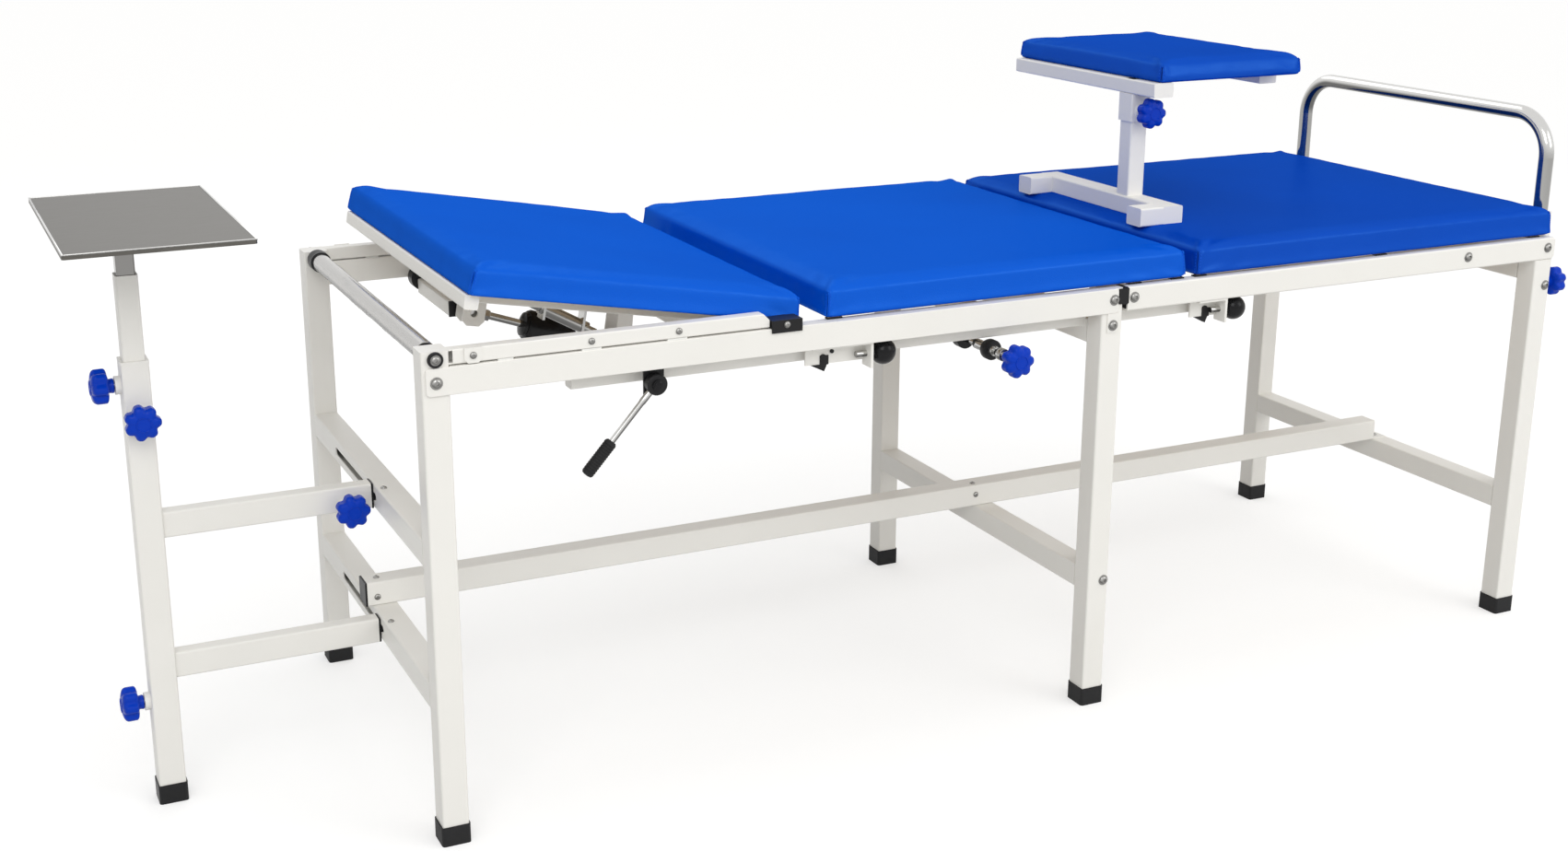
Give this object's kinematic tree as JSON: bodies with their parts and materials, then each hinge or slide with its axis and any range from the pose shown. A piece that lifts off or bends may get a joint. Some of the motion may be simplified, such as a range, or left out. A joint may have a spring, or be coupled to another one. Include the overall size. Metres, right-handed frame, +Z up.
{
  "type": "traction table",
  "caption": "Free-standing steel traction table with fixed pads, a tilting backrest, a lift-off stool, an end handle and a sliding stand with a height-adjustable tray.",
  "frame": {"origin": "centre of the near left boot's underside, on the floor", "axes": "+X along the table from the backrest end to the handle end, +Y across the table to the far side, +Z up"},
  "size_m": [2.447, 0.777, 1.001],
  "materials": {
    "frame_paint": "satin",
    "black_plastic": "matte",
    "rubber": "matte",
    "white_plastic": "matte",
    "bolt_steel": "brushed",
    "chrome": "polished",
    "black_metal": "gloss",
    "blue_leather": "satin grain",
    "board_wood": "raw",
    "black_gloss": "gloss",
    "blue_gloss": "gloss"
  },
  "bodies": {
    "frame": {"left_legs": "frame_paint", "middle_legs": "frame_paint", "right_legs": "frame_paint", "leg_boots": "rubber", "left_crossbars": "frame_paint", "crossbars": "frame_paint", "top_beams": "frame_paint", "long_stretcher": "frame_paint", "end_plugs": "black_plastic", "lower_rails": "frame_paint", "upper_rails": "frame_paint", "right_rails": "frame_paint", "rail_joint_blocks": "black_plastic", "rail_plates": "frame_paint", "rail_spacers": "white_plastic", "frame_bolts": "bolt_steel", "frame_screws": "bolt_steel", "roller_axle": "chrome", "hinge_saddles": "black_plastic", "fixed_boards": "board_wood", "middle_cushion": "blue_leather", "right_cushion": "blue_leather", "pad_feet": "black_plastic", "pad_cross_tubes": "frame_paint", "inner_rails": "frame_paint", "strut_bracket": "frame_paint", "frame_hubs": "black_plastic", "rail_brackets": "frame_paint", "latch_catches": "black_plastic", "handle_brackets": "frame_paint", "end_handle": "chrome"},
    "roller": {"roller_tube": "chrome", "roller_bushes": "black_plastic"},
    "backrest": {"backrest_frame": "frame_paint", "backrest_board": "board_wood", "backrest_cushion": "blue_leather", "lock_cylinder": "chrome"},
    "strut": {"strut_barrel": "black_metal"},
    "strut_rod": {"strut_rod": "chrome"},
    "lever": {"lever_arm": "chrome", "lever_grip": "black_plastic"},
    "left_latch": {"latch_pull_left": "black_gloss"},
    "right_latch": {"latch_pull_right": "black_gloss"},
    "stool": {"stool_base": "frame_paint"},
    "seat": {"stool_seat_frame": "frame_paint", "stool_cushion": "blue_leather"},
    "stand": {"stand_column": "frame_paint", "stand_arms": "frame_paint", "stand_slides": "black_plastic", "column_caps": "black_plastic"},
    "mast": {"mast_tube": "frame_paint"},
    "tray": {"tray_post": "frame_paint", "tray_plate": "bolt_steel"},
    "upper_column_knob": {"column_knob": "blue_gloss"},
    "side_column_knob": {"column_side_knob": "blue_gloss"},
    "lower_column_knob": {"column_low_knob": "blue_gloss"},
    "arm_clamp_knob": {"arm_knob": "blue_gloss"},
    "rod_knob": {"clamp_knob": "blue_gloss"},
    "end_clamp_knob": {"end_knob": "blue_gloss"},
    "stool_clamp_knob": {"stool_knob": "blue_gloss"}
  },
  "joints": [
    {"name": "roller_spin", "type": "hinge", "parent": "frame", "child": "roller", "pos_m": [0, 0.339, 0.7], "axis": [0, 1, 0], "continuous": true},
    {"name": "backrest_tilt", "type": "hinge", "parent": "frame", "child": "backrest", "pos_m": [0.506, 0.339, 0.681], "axis": [0, 1, 0], "range_deg": [-10.3, 27.7]},
    {"name": "strut_swing", "type": "hinge", "parent": "frame", "child": "strut", "pos_m": [0.43, 0.45, 0.555], "axis": [0, 1, 0], "range_deg": [-10.6, 28.4]},
    {"name": "strut_extend", "type": "slide", "parent": "strut", "child": "strut_rod", "axis": [-0.9426, 0, 0.334], "range_m": [-0.026, 0.0697]},
    {"name": "release_lever", "type": "hinge", "parent": "frame", "child": "lever", "pos_m": [0.312, 0, 0.627], "axis": [0, 1, 0], "range_deg": [0, 20], "stiffness_Nm_per_rad": 0.6, "springref_deg": -20.05},
    {"name": "left_latch_pull", "type": "slide", "parent": "frame", "child": "left_latch", "axis": [1, 0, 0], "range_m": [0, 0.01], "stiffness_N_per_m": 800, "springref_m": -0.006},
    {"name": "right_latch_pull", "type": "slide", "parent": "frame", "child": "right_latch", "axis": [1, 0, 0], "range_m": [0, 0.01], "stiffness_N_per_m": 800, "springref_m": -0.006},
    {"name": "stool_lift", "type": "slide", "parent": "frame", "child": "stool", "axis": [0, 0, 1], "range_m": [0, 0.2]},
    {"name": "seat_height", "type": "slide", "parent": "stool", "child": "seat", "axis": [0, 0, 1], "range_m": [0, 0.045]},
    {"name": "stand_slide", "type": "slide", "parent": "frame", "child": "stand", "axis": [0, 1, 0], "range_m": [0, 0.2]},
    {"name": "mast_height", "type": "slide", "parent": "stand", "child": "mast", "axis": [0, 0, 1], "range_m": [-0.115, 0.15]},
    {"name": "tray_height", "type": "slide", "parent": "mast", "child": "tray", "axis": [0, 0, 1], "range_m": [-0.06, 0.1]},
    {"name": "upper_column_knob_turn", "type": "hinge", "parent": "stand", "child": "upper_column_knob", "pos_m": [-0.38, 0.291, 0.629], "axis": [-1, 0, 0], "continuous": true},
    {"name": "side_column_knob_turn", "type": "hinge", "parent": "stand", "child": "side_column_knob", "pos_m": [-0.337, 0.25, 0.585], "axis": [0, -1, 0], "continuous": true},
    {"name": "lower_column_knob_turn", "type": "hinge", "parent": "stand", "child": "lower_column_knob", "pos_m": [-0.38, 0.291, 0.157], "axis": [-1, 0, 0], "continuous": true},
    {"name": "arm_knob_turn", "type": "hinge", "parent": "stand", "child": "arm_clamp_knob", "pos_m": [-0.057, 0.25, 0.413], "axis": [0, -1, 0], "continuous": true},
    {"name": "rod_knob_turn", "type": "hinge", "parent": "frame", "child": "rod_knob", "pos_m": [0.865, 0, 0.608], "axis": [0, -1, 0], "continuous": true},
    {"name": "end_knob_turn", "type": "hinge", "parent": "frame", "child": "end_clamp_knob", "pos_m": [1.99, 0, 0.607], "axis": [1, 0, 0], "continuous": true},
    {"name": "stool_knob_turn", "type": "hinge", "parent": "seat", "child": "stool_clamp_knob", "pos_m": [1.289, 0.22, 0.912], "axis": [0, -1, 0], "continuous": true}
  ],
  "couplings": [
    {"joint": "strut_swing", "follows": "backrest_tilt", "ratio": 1.024},
    {"joint": "strut_extend", "follows": "backrest_tilt", "m_per_rad": 0.14353}
  ]
}
